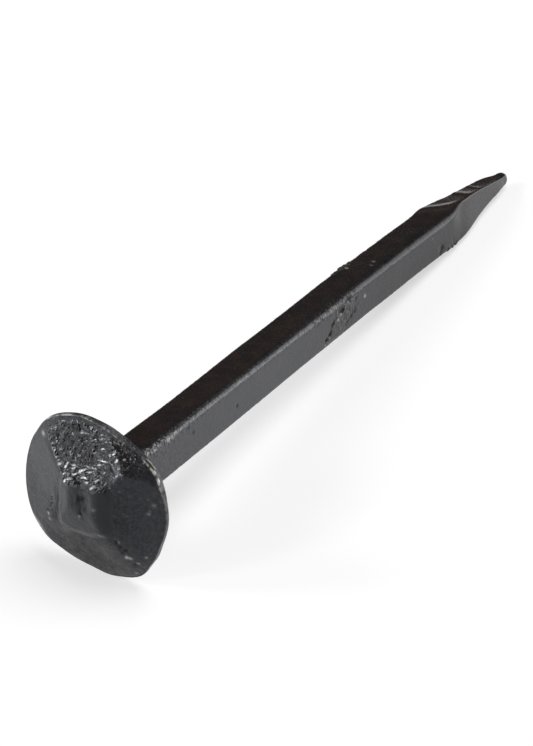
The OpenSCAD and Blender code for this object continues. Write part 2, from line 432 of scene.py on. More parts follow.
def bar_point(station, turn):
    """Point on the plain bar, in the bar's frame. turn runs from 0 to 4 round the section: each quarter is
    an edge's arc and then the flat up to the next edge, from the right face's top edge leftwards."""
    shape = station.shape
    station, turn = station.ravel(), np.mod(turn.ravel(), 4.0)
    quarter = np.minimum(turn.astype(int), 3)
    share = turn - quarter
    knots = [np.array(table, float) for table in (WORN_RADIUS, EDGE_RADIUS, EDGE_RADIUS, EDGE_RADIUS)]
    radii = np.stack([np.interp(station, k[:, 0], k[:, 1]) for k in knots])
    sharp = np.stack([edge_at(track, station) for track in EDGE_TRACKS])
    signs = np.array([[1, 1], [-1, 1], [-1, -1], [1, -1]], float)
    centres = sharp - signs[:, None, :] * radii[..., None]
    rows, following = np.arange(len(station)), (quarter + 1) % 4
    arc = np.minimum(share / ARC_SHARE, 1.0)
    angle = np.pi / 2 * (quarter + arc)
    along = np.clip((share - ARC_SHARE) / (1 - ARC_SHARE), 0, 1)[:, None]
    centre, radius = (values[quarter, rows] * (1 - along) + values[following, rows] * along
                      for values in (centres, radii[..., None]))
    out = centre + radius * np.stack([np.cos(angle), np.sin(angle)], -1)
    return np.stack([out[:, 0], station, out[:, 1]], -1).reshape(*shape, 3)


def bar_normal(station, turn):
    """Direction out of the plain bar's skin."""
    along = bar_point(station + STATION_STEP, turn) - bar_point(station - STATION_STEP, turn)
    around = bar_point(station, turn + TURN_STEP) - bar_point(station, turn - TURN_STEP)
    normal = np.cross(along, around)
    normal /= np.linalg.norm(normal, axis=-1, keepdims=True)
    opposite = bar_point(station, turn + 2.0)
    facing = ((bar_point(station, turn) - opposite) * normal).sum(-1, keepdims=True)
    return normal * np.sign(facing)


def turned(points):
    """From the bar's frame to the spike's."""
    x, y, z = np.moveaxis(points, -1, 0)
    c, s = math.cos(BAR_TURN), math.sin(BAR_TURN)
    return np.stack([x * c - z * s, y, x * s + z * c], -1)


def lay(points):
    """From the spike's frame in millimetres to the part's frame in metres."""
    x, y, z = np.moveaxis(points, -1, 0)
    c, s = math.cos(TILT), math.sin(TILT)
    return np.stack([x, y * c + z * s, z * c - y * s], -1) * MM


def ring_faces(rings, around, close=False):
    """Quads between rings of points, the last ring joined to the first where close is true."""
    faces = []
    for r in range(rings if close else rings - 1):
        a, b = r * around, ((r + 1) % rings) * around
        for i in range(around):
            j = (i + 1) % around
            faces.append((a + i, a + j, b + j, b + i))
    return faces


# Limits of the masks that the finish reads
LIMITS = {"rusty": (NO_RUST, 1), "chips_and_glints": (0, 1), "painted_light_and_gloss": (-1, 1), "pebbled": (0, 2)}


def make_piece(name, points, faces, node, material, masks):
    """A mesh piece of the object, from points in the spike's frame."""
    mesh = bpy.data.meshes.new(name)
    mesh.from_pydata(lay(points).tolist(), [], faces)
    mesh.polygons.foreach_set("use_smooth", np.ones(len(mesh.polygons), bool))
    for label, values in masks.items():
        layer = mesh.attributes.new(label, "FLOAT", "POINT")
        layer.data.foreach_set("value", np.clip(values, *LIMITS[label]).astype(np.float32))
    mesh.materials.append(material)
    mesh.update()
    piece = bpy.data.objects.new(name, mesh)
    bpy.context.scene.collection.objects.link(piece)
    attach(piece, "root")
    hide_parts(node)


def patch_shell(base, normal, thickness, depth, keep):
    """Closed shell over the kept cells of a grid of base points: top at thickness, back depth below."""
    rows, columns = keep.shape
    cells = keep[:-1, :-1] & keep[1:, :-1] & keep[:-1, 1:] & keep[1:, 1:]
    top = base + normal * thickness[..., None]
    back = base - normal * depth
    used = np.zeros((rows, columns), bool)
    for dr in (0, 1):
        for dc in (0, 1):
            used[dr:rows - 1 + dr, dc:columns - 1 + dc] |= cells
    count = int(used.sum())
    index = -np.ones((rows, columns), int)
    index[used] = np.arange(count)
    faces = []
    for r, c in zip(*np.nonzero(cells)):
        a, b, d, e = index[r, c], index[r, c + 1], index[r + 1, c + 1], index[r + 1, c]
        faces.append((a, b, d, e))
        faces.append((a + count, e + count, d + count, b + count))
        for (dr, dc), (p, q) in (((-1, 0), (a, b)), ((0, 1), (b, d)), ((1, 0), (d, e)), ((0, -1), (e, a))):
            nr, nc = r + dr, c + dc
            if not (0 <= nr < rows - 1 and 0 <= nc < columns - 1) or not cells[nr, nc]:
                faces.append((q, p, p + count, q + count))
    return np.concatenate([top[used], back[used]]), faces, used


class Nodes:
    """Short way to build the node tree of a material or of the world."""

    def __init__(self, owner, coordinates=None):
        owner.use_nodes = True
        self.tree = owner.node_tree
        self.place = self.add("TexCoord").outputs[coordinates] if coordinates else None

    def feed(self, node, inputs):
        """Links or sets a node's inputs, each by its name or number."""
        for socket, value in inputs.items():
            if isinstance(value, bpy.types.NodeSocket):
                self.tree.links.new(value, node.inputs[socket])
            else:
                node.inputs[socket].default_value = value

    def add(self, kind, inputs=(), **settings):
        """A new node with its settings and inputs."""
        node = self.tree.nodes.new("ShaderNode" + kind)
        for setting, value in settings.items():
            setattr(node, setting, value)
        self.feed(node, dict(inputs))
        return node

    def noise(self, size, detail=2.0, roughness=0.5):
        """Noise with lumps about size millimetres apart."""
        return self.add("TexNoise", {"Vector": self.place, "Scale": 1.0 / (size * MM), "Detail": detail,
                                     "Roughness": roughness}).outputs["Fac"]

    def specks(self, size, reach, rare):
        """Small dots about size millimetres apart, of which a share rare is left out."""
        dots = self.add("TexVoronoi", {"Vector": self.place, "Scale": 1.0 / (size * MM)}).outputs
        dot = self.remap(dots["Distance"], (reach * 0.5, reach), (1.0, 0.0))
        own = self.add("SeparateColor", {0: dots["Color"]}).outputs[0]
        return self.math("MULTIPLY", dot, self.math("GREATER_THAN", own, rare))

    def mask(self, label):
        """One of the masks that make_piece gives to the points."""
        return self.add("Attribute", attribute_name=label).outputs["Fac"]

    def remap(self, source, span, to, easing="LINEAR"):
        """What runs over one span, carried to another."""
        ends = {"From Min": span[0], "From Max": span[1], "To Min": to[0], "To Max": to[1]}
        node = self.add("MapRange", {"Value": source, **ends}, interpolation_type=easing)
        return node.outputs["Result"]

    def math(self, operation, a, b, clamp=False):
        return self.add("Math", {0: a, 1: b}, operation=operation, use_clamp=clamp).outputs[0]

    def mix(self, factor, first, second):
        """Mix of two colours."""
        return self.add("Mix", {0: factor, 6: first, 7: second}, data_type="RGBA").outputs[2]

    def bumps(self, *layers):
        """Bumps laid over each other, each as its height and its depth in millimetres."""
        under = {}
        for height, depth in layers:
            node = self.add("Bump", {**under, "Strength": 1.0, "Distance": depth * MM, "Height": height})
            under = {"Normal": node.outputs["Normal"]}
        return node.outputs["Normal"]

    def facing(self, aim, span, to, easing="LINEAR"):
        """A level that follows how nearly a direction points to aim."""
        dot = self.add("VectorMath", {0: self.place, 1: aim}, operation="DOT_PRODUCT").outputs["Value"]
        return self.remap(dot, span, to, easing)


# Colours: bare steel in three shades, of which the cream one also serves as painted glints along the bar's
# worn edge and the last one as painted glints on the crust; the grey of the finest specks, two tints of the
# gloss, and white
CREAM = (0.58, 0.55, 0.50, 1)
PALE = (0.76, 0.73, 0.68, 1)
GLINT_STEEL = (0.80, 0.82, 0.85, 1)
GREY = (0.07, 0.07, 0.07, 1)
BLUISH = (0.89, 0.92, 1.0, 1)
BLUER = (0.86, 0.90, 1.0, 1)
WHITE = (1, 1, 1, 1)
# How much the refractive index rises where the finish is glossy or light is painted, and falls where it is
# dull or shade is painted; how metallic the chipped places and painted glints are; and the height of the
# pebbled ones
IOR_SWING = 0.25
METAL_SHARE = 0.5
PEBBLE_DEPTH = 0.35


def black_finish(name, black, brown, bare_and_glints, tint, roughness, ior, pit_depth, wave_depth):
    """Black wax finish over forged steel: brownish where thin, pale where chipped and where glints are
    painted; its refractive index carries painted light and shade as well as its gloss.
    """
    material = bpy.data.materials.new(name)
    n = Nodes(material, "Object")
    chips_and_glints = n.mask("chips_and_glints")
    cloud = n.remap(n.noise(size=3.2, detail=3.0), (0.35, 0.7), (0.0, 0.55))
    rust = n.math("MINIMUM", n.math("ADD", cloud, n.mask("rusty")), 1.0)
    # Pale where chipped, and also where glints are painted in this pale colour
    colour = n.mix(chips_and_glints, n.mix(rust, (*black, 1), (*brown, 1)), bare_and_glints)
    grit = n.noise(size=0.9, detail=4.0, roughness=0.65)
    waves = n.noise(size=1.6)
    pebbles = n.math("MULTIPLY", n.noise(size=0.62, roughness=0.6), n.mask("pebbled"))
    pits = n.noise(size=0.32, detail=3.0, roughness=0.6)
    n.feed(n.tree.nodes["Principled BSDF"], {
        "Base Color": n.mix(n.specks(size=1.3, reach=0.13, rare=0.72), colour, GREY),
        "Metallic": n.remap(chips_and_glints, (0.0, 1.0), (0.0, METAL_SHARE)),
        "Roughness": n.remap(grit, (0.3, 0.7), roughness),
        # Painted light and shade: the refractive index rises where light is painted and falls where shade is
        # painted, besides following the gloss
        "IOR": n.remap(n.mask("painted_light_and_gloss"), (-1.0, 1.0), (ior - IOR_SWING, ior + IOR_SWING)),
        "Specular Tint": tint,
        "Normal": n.bumps((waves, wave_depth), (pebbles, PEBBLE_DEPTH), (pits, pit_depth)),
    })
    return material


# The bar, with its point, its tenon through the head and the peened pad at the crown.
# Steps round the section: on each edge's arc and on each flat
ARC_STEPS, FLAT_STEPS = 8, 18
AROUND = 4 * (ARC_STEPS + FLAT_STEPS)
# Rings of the pad as shares of its reach, its underside as (share, height) and the tenon as (station, half
# width)
PAD_SHARES = np.concatenate([np.linspace(0.02, 0.7, 26), np.linspace(0.72, 1.0, 15)])
PAD_UNDER = ((0.99, 3.6), (0.9, 3.6), (0.62, 3.7))
TENON = ((-3.4, 3.55), (-2.4, 3.68), (-1.2, 3.85))
BAR_HALF = 4.0
# Rings of the bar: its start, where the finest skin ends and where the point's rings start, with the steps
# between them and the number of rings of the point; then where its relief is full and the angles of the
# nose
BAR_START, FINE_TO, POINT_FROM = -0.3, 32, 128
FINE_STEP, COARSE_STEP, POINT_RINGS = 0.17, 0.25, 98
RELIEF_FROM = 1.5
NOSE_ANGLES = (14, 28, 42, 55, 67, 78)
# Spans of turns: the top face and its brown tint, in and out, and the right face
TOP_FACE = (0.2, 0.35, 1.0, 1.15)
TOP_TINT = (0.15, 0.35, 1.0, 1.2)
RIGHT_IN, RIGHT_OUT = (2.9, 3.15), (0.2, 0.3)
# Bands of turns: the worn edge, what lies by it, and its rolled side, which gets painted shade
RIDGE, NEAR_RIDGE, ROLLED_SHADE = (0.09, 0.06), (0.07, 0.11), (0.16, 0.06)
# Bands of stations: beside the head, the flecked stretch, by the scab for chips and for pebbles, the bend,
# and after it
BY_HEAD, FLECKED, BY_SCAB = (0, 19), (13, 13), (82, 8)
SCAB_PEBBLES, BEND, AFTER_BEND = (80, 9), (140.5, 2.5), (146, 3)
# Spans of stations: the edge's wear thins, its sparks end, its scars end, the painted light on the right face
# ends, the edge ends, the painted shade on the rolled side ends, the point's top starts, its gloss starts,
# its brown tint starts
THINNER, SPARKS_END, SCARS_END, RIGHT_LIGHT_ENDS = (45, 60), (85, 100), (80, 100), (45, 120)
EDGE_ENDS, ROLL_ENDS = (130, 138), (138, 144)
POINT_TOP, POINT_GLOSS, POINT_TINT = (138, 143), (139, 150), (128, 145)
# Its long hammer waves, their stretch, its grain and that of its edges and rough places
BAR_WAVES, WAVE_STRETCH = (0.05, 7.0, 1, 0.0), (1, 0.5, 1)
BAR_GRAIN = (0.012, 1.1, 2, 50.0)
EDGE_GRAIN = (0.045, 0.7, 3, 90.0)
ROUGH_GRAIN = (1.0, 0.75, 3, 130.0)
# Rough places and pits of the bar, as marks
ROUGH_PLACES = (
    (86, 3.75, 7.0, 0.45, 0.16), (8, 0.1, 11.0, 0.16, 0.208), (98.7, 1.12, 4.0, 0.2, 0.16),
    (110, 1.12, 7.0, 0.14, 0.112), (135, 3.15, 3.5, 0.25, 0.16), (130, 3.5, 2.0, 0.2, 0.128),
)
PITS = (
    (42.1, 3.57, 0.4, 0.045, 0.14), (26.6, 3.77, 0.35, 0.04, 0.1), (25.3, 3.95, 0.3, 0.03, 0.1),
    (129.5, 3.434, 0.75, 0.1, 0.22), (128.5, 3.31, 0.5, 0.06, 0.18), (77.2, 3.39, 0.5, 0.06, 0.22),
    (78.8, 3.47, 0.6, 0.06, 0.22), (80.3, 3.7, 0.5, 0.05, 0.2), (84.4, 3.86, 0.6, 0.08, 0.22),
    (87.7, 4.0, 0.65, 0.07, 0.26), (90.7, 3.95, 0.5, 0.05, 0.22), (89.7, 3.585, 0.4, 0.05, 0.14),
)
# Bright specks on the bar
BAR_SPECKS = (
    (94.5, 3.79, 0.35, 1.0), (104.6, 0.44, 0.35, 0.35), (102.7, 0.375, 0.3, 0.25), (98.8, 0.894, 0.3, 1.0),
    (126.0, 4.0, 0.4, 0.4), (18.7, 0.02, 0.35, 0.7), (20.0, 0.03, 0.3, 0.6),
)
# Hammer marks across the top of the point: station at the right edge, lean back towards the left, reach,
# height; and how far ahead of each mark its brown tint lies
HAMMER_MARKS = ((140.6, 9.2, 2.5, 0.42), (148.6, 0.8, 1.3, 0.18), (154.0, 0.5, 0.9, 0.09))
TINT_AHEAD = 1.0
# Cracks round a scab on the bar, as runs of (station, turn), and half their width
SCAB_CRACKS = (
    ((77.2, 3.39), (78.8, 3.47), (80.3, 3.7), (82.4, 3.78), (84.4, 3.874), (85.5, 3.98), (87.7, 4.06),
     (89.0, 4.08)),
    ((90.3, 3.8), (90.2, 3.75), (89.7, 3.585), (87.6, 3.5), (85.5, 3.4)),
)
CRACK_HALF = 0.3
# One turn is about this many millimetres round the section
ROUND = 8.0


def round_gap(turn, other):
    """Shortest way round the section between two turns."""
    return (turn - other + 2.0) % 4.0 - 2.0


def window(turn, span):
    """1 on a face of the bar, eased in and out over the turns of its span."""
    return smooth(*span[:2], turn) * fade(*span[2:], turn)


def bar_marks(station, turn, marks):
    """Sum of soft marks on the bar."""
    return sum(strength * bell(station - at, along) * bell(round_gap(turn, middle), over)
               for at, middle, along, over, strength in marks)


def bar_spots(station, turn, marks):
    """Soft round spots on the bar, 0 to 1."""
    unrolled = [(at, ROUND * middle, size, strength) for at, middle, size, strength in marks]
    return spots(station, ROUND * turn, unrolled)


def hammered(station, turn, marks):
    """Sum of hammer marks across the top of the point, as in HAMMER_MARKS."""
    return sum(height * bell(station + lean * (turn - ARC_SHARE) - at, reach)
               for at, lean, reach, height in marks)


def cracks(station, turn):
    """1 in the cracks round the first scab, 0 away from them."""
    over = ROUND * np.where(turn < 1, turn + 4.0, turn)
    apart = np.full(station.shape, FAR)
    for run in SCAB_CRACKS:
        for (at, middle), (at_end, middle_end) in zip(run, run[1:]):
            start, end = (at, ROUND * middle), (at_end, ROUND * middle_end)
            apart = np.minimum(apart, segment_distance(start, end, station, over))
    places = np.stack([station, over, np.zeros_like(over)], -1)
    broken = 0.15 + 0.85 * smooth(-0.2, 0.15, grain(places, 1.1, 2))
    return bell(apart, CRACK_HALF) * broken


def bar_relief(station, turn, points):
    """Hammer waves, edge wear, rough places, pits and hammer marks of the bar, outwards."""
    share = np.mod(turn, 1.0)
    on_edge = np.where(share <= ARC_SHARE, np.sin(np.pi * np.clip(share / ARC_SHARE, 0, 1)), 0.0)
    relief = grains(points * WAVE_STRETCH, BAR_WAVES) + grains(points, BAR_GRAIN)
    relief += on_edge * grains(points, EDGE_GRAIN)
    relief += bar_marks(station, turn, ROUGH_PLACES) * grains(points, ROUGH_GRAIN)
    relief -= bar_marks(station, turn, PITS)
    return relief + window(turn, TOP_FACE) * hammered(station, turn, HAMMER_MARKS)


def pad_masks(points):
    """Masks of the pad and of the tenon behind it."""
    x, z = points[:, 0], points[:, 2]
    groove = ovals(x, z, [PAD_GROOVE])
    streaks = grain(points * (1.0, 1.0, 0.3), 0.55, 2)
    left_edge = 0.5 * within(x, PAD_LEFT) * smooth(-4.5, -2.5, z)
    lower_edge = 0.4 * within(z, PAD_LOWER) * smooth(0.5, 2.5, x)
    # Painted shade on its right side, in its groove and in its dark spots; its left and lower edges are
    # duller
    right_side = 0.55 * smooth(2.8, 4.6, x) * smooth(-6.0, -3.5, z)
    dull_and_shade = groove * (0.35 - 1.2 * streaks) + left_edge + lower_edge + right_side + spots(x, z, PAD_DARK)
    return {"rusty": np.full(len(points), NO_RUST), "chips_and_glints": spots(x, z, PAD_CHIPS),
            "painted_light_and_gloss": -dull_and_shade, "pebbled": 0.08 + 0.2 * groove}


def bar_masks(at, turn, plain):
    """Masks of the bar's skin, at each station and turn."""
    # Where things are along the bar and round it
    by_head = at < FINE_TO
    before_point = fade(*EDGE_ENDS, at)
    ridge = within(turn, RIDGE) * (1 - 0.6 * smooth(*THINNER, at)) * before_point
    near_ridge = bell(round_gap(turn, NEAR_RIDGE[0]), NEAR_RIDGE[1])
    rolled_shade = within(turn, ROLLED_SHADE) * fade(*ROLL_ENDS, at)
    on_right = np.maximum(smooth(*RIGHT_IN, turn), fade(*RIGHT_OUT, turn))
    on_point = window(turn, TOP_FACE) * smooth(*POINT_TOP, at) * (1.0 + 0.6 * within(at, AFTER_BEND))
    battered = near_ridge * (within(at, BY_HEAD) + 0.9 * within(at, BY_SCAB))
    flecked = on_right * within(at, FLECKED)
    pits = bar_marks(at, turn, [(*pit[:4], 1.0) for pit in PITS])

    def fine_grain(seed, size, size_at_head):
        """Grain of the bar's skin, finer beside the head."""
        return np.where(by_head, grain(plain + seed, size_at_head), grain(plain + seed, size))

    # Brown on the top face, more so at its hammer marks and along the point
    tint_marks = [(place + TINT_AHEAD, lean, reach, 1.0) for place, lean, reach, _ in HAMMER_MARKS]
    rusty = window(turn, TOP_TINT) * (0.35 + hammered(at, turn, tint_marks)) + 0.25 * smooth(*POINT_TINT, at)

    # Bare along the worn edge; the sparkling specks of bare colour along it, beside the head and by the scab
    # are painted glints; none in the pits
    worn = smooth(0.35, 0.65, grain(plain + 7.0, 0.6, 2))
    spark = smooth(0.2, 0.4, fine_grain(17.0, 0.42, 0.32))
    sparkling = 0.2 * ridge * (worn + spark * fade(*SPARKS_END, at))
    sparkling += ((0.34 + 0.2 * by_head) * battered + 0.1 * flecked) * spark
    chips_and_glints = sparkling * (1 - np.minimum(1.5 * pits, 1)) + bar_spots(at, turn, BAR_SPECKS)

    # Painted light on the right face, strongest by the head and less at the bend, and glossier on the point;
    # painted shade on the edge's rolled side and in cracks and pits; dull in scars
    scar = smooth(0.1, 0.35, fine_grain(27.0, 0.5, 0.38))
    scarred = (2.2 * battered + 0.9 * near_ridge * fade(*SCARS_END, at) + 0.55 * flecked) * scar
    painted_light_and_gloss = on_right * (fade(*RIGHT_LIGHT_ENDS, at) + 0.45 * smooth(*POINT_GLOSS, at) - 0.35 * within(at, BEND))
    painted_light_and_gloss += 0.15 * on_point - 0.25 * rolled_shade - scarred - 2.0 * cracks(at, turn) - 2.4 * pits
    return {"rusty": rusty, "chips_and_glints": chips_and_glints, "painted_light_and_gloss": painted_light_and_gloss,
            "pebbled": near_ridge * (0.12 + 0.15 * within(at, SCAB_PEBBLES)) * before_point}


def build_bar():
    quarter = np.concatenate([np.linspace(0, ARC_SHARE, ARC_STEPS, endpoint=False),
                              np.linspace(ARC_SHARE, 1, FLAT_STEPS, endpoint=False)])
    turns = np.concatenate([quarter + q for q in range(4)])
    # Pad, from its middle outwards, then back under its edge and through the head
    first = bar_point(np.zeros(AROUND), turns)
    bearings = np.radians(bearing_of(first[:, 0], first[:, 2]))
    reach = pad_reach(first[:, 0], first[:, 2])
    right, up = reach * np.cos(bearings), reach * np.sin(bearings)
    rings = [np.stack([s * right, -pad_height(s * right, s * up), s * up], -1) for s in PAD_SHARES]
    rings += [np.stack([s * right, np.full(AROUND, -height), s * up], -1) for s, height in PAD_UNDER]
    for station, half in TENON:
        shrunk = first * (half / BAR_HALF)
        shrunk[:, 1] = station
        rings.append(turned(shrunk))
    pad_count = len(rings) * AROUND
    stations = np.concatenate([np.arange(BAR_START, FINE_TO, FINE_STEP),
                               np.arange(FINE_TO, POINT_FROM, COARSE_STEP),
                               np.linspace(POINT_FROM, NOSE_AT, POINT_RINGS)])
    at, turn = np.meshgrid(stations, turns, indexing="ij")
    plain = bar_point(at, turn)
    relief = bar_relief(at, turn, plain) * smooth(0.0, RELIEF_FROM, at)
    rings.extend(turned(plain + bar_normal(at, turn) * relief[..., None]))
    # Blunt nose, rounded over
    middle = np.array([NOSE_MIDDLE[0], 0.0, NOSE_MIDDLE[1]])
    for angle in np.radians(NOSE_ANGLES):
        end = middle + (plain[-1] - middle) * math.cos(angle)
        end[:, 1] = NOSE_AT + (BAR_END - NOSE_AT) * math.sin(angle)
        rings.append(turned(end))
    tips = np.array([[0.0, -pad_height(np.zeros(1), np.zeros(1))[0], 0.0],
                     turned(np.array([NOSE_MIDDLE[0], BAR_END, NOSE_MIDDLE[1]]))])
    points = np.concatenate([*rings, tips])
    faces = ring_faces(len(rings), AROUND)
    count = len(rings) * AROUND
    for i in range(AROUND):
        j = (i + 1) % AROUND
        faces.append((count, j, i))
        faces.append((count + 1, count - AROUND + i, count - AROUND + j))
    pad, bar = pad_masks(points[:pad_count]), bar_masks(at, turn, plain)
    nose = np.zeros(len(points) - pad_count - at.size)
    masks = {label: np.concatenate([pad[label], bar[label].ravel(), nose]) for label in pad}
    make_piece("forged_bar", points, faces, "shank", bar_black, masks)


# The head. Its square hole: half its width, and how much its corners are cut; the share of it left at the
# crown, and where its rings lie and how high they reach, as shares
HOLE_HALF, HOLE_CORNER = 3.9, 0.33
HOLE_INSET = 0.88
HOLE_RINGS, HOLE_TOP = (0.3, 0.65), 0.95
# Degrees between its points, and its rings: on the front and the back as shares of the way, and round the rim
HEAD_STEP = 0.9
FRONT_RINGS = np.concatenate([np.linspace(0, 0.88, 56), np.linspace(0.89, 1, 14)])
BACK_RINGS = np.linspace(0.08, 1, 16)
RIM_FRONT_ANGLES, RIM_BACK_ANGLES = (18, 36, 54, 72, 90), (90, 66, 42, 20, 0)
SIDE_RINGS = np.linspace(0, 1, 12)[1:-1]
# Chips and rust specks, as spots
CHIPS = (
    (9.4, -8.7, 0.4, 0.6), (10.1, -8.8, 0.3, 0.5), (8.0, -5.4, 0.25, 0.2), (11.3, -9.9, 0.28, 0.35),
    (12.9, -8.0, 0.25, 0.35), (9.4, 0.9, 0.22, 0.08), (13.0, 5.2, 0.2, 0.12), (8.0, 6.0, 0.25, 0.09),
    (-8.15, -5.2, 0.3, 0.5), (-7.75, -6.3, 0.3, 0.4), (-11.7, -9.9, 0.35, 0.4), (-11.1, 10.3, 0.5, 0.6),
    (10.2, -13.2, 0.3, 0.4), (-4.3, -7.1, 0.9, 0.1),
)
RUST_SPECKS = ((14.1, 4.05, 0.36, 0.9), (13.2, 2.0, 0.34, 0.9), (13.4, 2.7, 0.2, 0.5))
# Slanting nicks on the left facet, as flakes, darkened with painted shade, and where their lit sides lie,
# which get painted light
NICKS = (
    (-7.2, -1.1, 0.5, 0.17, 35, 1.0), (-7.5, -1.9, 0.5, 0.16, 35, 0.8), (-7.3, -2.6, 0.5, 0.18, 35, 1.0),
    (-7.8, -3.3, 0.45, 0.16, 35, 0.8), (-7.2, -4.0, 0.5, 0.16, 35, 0.8), (-8.4, -4.5, 0.5, 0.16, 35, 0.7),
    (-9.1, 2.3, 0.5, 0.2, 40, 0.5), (10.4, -1.3, 0.25, 0.25, 0, 0.9),
)
NICK_LIT = (-0.22, 0.3)
# Pebbled spots besides the upper facet
PEBBLED = (
    (8.6, 13.6, 1.9, 0.9), (10.0, 10.8, 2.2, 0.6), (12.2, 11.6, 1.0, 0.6), (8.0, -6.0, 1.6, 0.6),
    (9.6, -8.4, 1.6, 0.6), (-7.2, -3.2, 2.0, 0.35),
)
# An oval of painted shade on the right facet, beside the pad
SHADE_PATCH = (7.3, 0.0, 4.0, 6.5, 0.34)
# Bands of bearings: the facet that gets painted light, and the lowest one, which gets painted shade
LIT_FACET = (172, 42)
LOW_FACET = (-91, 40)
# Worn stretches of the rim: bearing of the middle, half its length in degrees, strength on the front edge,
# on the side and on the back edge
RIM_WEAR = (
    (115, 32, 1.0, 0.0, 0.0), (76, 10, 0.5, 0.0, 0.0), (43, 7, 0.6, 0.0, 0.1), (33, 9, 0.8, 0.05, 0.15),
    (12, 16, 0.15, 0.15, 0.2), (-70, 10, 0.3, 0.0, 0.0),
)
# Places on the rim, by bearing and half length in degrees: the rough one beside the bar, the brownish edge
# that also gets painted shade beside the bar, the slit with painted shade in it and two bright lips, and the
# flaked edge below it
ROUGH_RIM = (58, 15)
DARK_RIM = (61, 12)
TORN_RIM = (43.5, 4.2)
FLAKED_RIM = (33, 8)
# Bands behind the rim's front edge: the slit, its front and back lips and the flaked edge; and the slit's
# depth
SLIT, FRONT_LIP, BACK_LIP, FLAKED = (0.45, 0.2), (0.0, 0.2), (0.82, 0.13), (0.3, 0.22)
SLIT_DEPTH = 0.35
# Bands in from the rim's outline: its worn edges, its worn side, the front lip, the rough place and the
# dark edge
WORN_EDGE, WORN_SIDE, LIP_IN = (0.09, 0.07), (0.0, 0.05), (0.12, 0.17)
ROUGH_IN, DARK_IN = (0.8, 1.3), (0.0, 1.3)
# Spans: up from the underside to the front, in from the rim's side, and out from the axis to the facet with
# painted light and to the low facet with painted shade
FRONT_SIDE, RIM_SIDE, LIT_OUT, LOW_OUT = (0.2, 0.9), (0.2, 0.35), (5.5, 8.0), (6.0, 8.0)


def hole_reach(bearings):
    """Reach of the square hole for the tenon, a little inside the bar's skin."""
    a = np.radians(bearings) - BAR_TURN
    square = HOLE_HALF / np.maximum(np.abs(np.cos(a)), np.abs(np.sin(a)))
    return np.minimum(square, HOLE_HALF * math.sqrt(2) - HOLE_CORNER)


def slit_at(bearing, drop):
    """1 in the slit of the rim and 0 away from it, by bearing and by distance behind the front edge."""
    return bell(bearing_gap(bearing, TORN_RIM[0]), TORN_RIM[1], 4) * within(drop, SLIT)


def head_masks(points, from_rim, drop):
    """Masks of the head, by how far each point is in from the rim's outline and behind its front edge."""
    x, z = points[:, 0], points[:, 2]
    around, from_axis = bearing_of(x, z), np.hypot(x, z)
    front_side = smooth(*FRONT_SIDE, -points[:, 1])
    by_side = fade(*RIM_SIDE, from_rim)

    def near(middle, half):
        return bell(bearing_gap(around, middle), half, 4)

    slit = slit_at(around, drop) * by_side
    rough = near(*ROUGH_RIM) * within(from_rim, ROUGH_IN) * front_side
    on_bottom = near(*LOW_FACET) * smooth(*LOW_OUT, from_axis)

    # Bare in chips, on the worn stretches of the rim, on the lips of the slit and on the flaked edge
    chips_and_glints = (spots(x, z, CHIPS) + 0.22 * spots(x, z, RUST_SPECKS)) * front_side
    on_edge, on_side = within(from_rim, WORN_EDGE), within(from_rim, WORN_SIDE)
    patchy = 0.2 + 0.8 * smooth(-0.2, 0.25, grain(points, 1.3, 3))
    for middle, half, *strengths in RIM_WEAR:
        for strength, stretch in zip(strengths, (on_edge * front_side, on_side, on_edge * (1 - front_side))):
            chips_and_glints += strength * near(middle, half) * stretch * patchy
    front_lip = within(from_rim, LIP_IN) * within(np.maximum(drop, 0), FRONT_LIP)
    back_lip = by_side * within(drop, BACK_LIP)
    chips_and_glints += near(*TORN_RIM) * (front_lip + back_lip) * smooth(-0.3, 0.05, grain(points + 3.0, 0.7))
    flaked = front_lip + by_side * within(drop, FLAKED)
    chips_and_glints += 0.9 * near(*FLAKED_RIM) * flaked * smooth(-0.1, 0.25, grain(points + 13.0, 0.9))
    chips_and_glints *= 1 - np.minimum(1.4 * slit, 1)
    chips_and_glints += 0.32 * rough * smooth(0.3, 0.5, grain(points, 0.45, 2))

    # Brown on the lower facet, in specks and on the dark edge
    low_down = 0.15 * smooth(0.0, 1.5, -z - np.abs(x))
    rusty = np.clip(low_down + spots(x, z, RUST_SPECKS), 0, 1) * front_side
    rusty += 0.5 * near(*DARK_RIM) * by_side

    # Pebbled on the upper facet
    pebbled = smooth(4.5, 7.5, z) * smooth(-1.5, 1.5, z - np.abs(x)) * fade(7.0, 9.0, x - 0.6 * (z - 11))
    pebbled += 0.8 * spots(x, z, PEBBLED)

    # Painted light on the left facet, more towards its top, in the pebbled places and on the lit sides of the
    # nicks;
    # painted shade on the lower facet, in pits, nicks and the rim's slit, in the oval beside the pad and on
    # the dark edge by the bar; dull in scabs, on the rough rim and in random mottling
    lit = near(*LIT_FACET) * smooth(*LIT_OUT, from_axis) * (0.34 + 0.55 * smooth(-6.0, 6.0, z))
    lit = (lit + 0.35 * pebbled - 0.3 * on_bottom) * front_side
    pits = [(right, up, 0.75 * size, 0.9) for right, up, size, depth in HEAD_DENTS if size < 1 and depth > 0]
    scabby = by_ridge(x, z) * smooth(0.1, 0.4, grain(points, 0.8, 2))
    dull_and_shade = np.clip(spots(x, z, pits) + 0.4 * scabby + ovals(x, z, [SHADE_PATCH]), 0, 1)
    nicks = flakes(x, z, NICKS) - 0.7 * flakes(x - NICK_LIT[0], z - NICK_LIT[1], NICKS)
    mottled = (0.15 + 0.3 * on_bottom) * grain(points, 1.2, 3) + 0.45 * grain(points + 5.0, 0.55)
    dark_rim = near(*DARK_RIM) * within(from_rim, DARK_IN) * (0.55 + 0.5 * grain(points + 21.0, 0.6))
    dull_and_shade = (dull_and_shade + nicks - mottled) * front_side + 2.2 * slit + dark_rim
    dull_and_shade += rough * smooth(0.05, 0.3, grain(points + 9.0, 0.6, 2))
    return {"rusty": rusty, "chips_and_glints": chips_and_glints, "pebbled": pebbled * front_side, "painted_light_and_gloss": lit - 0.9 * dull_and_shade}


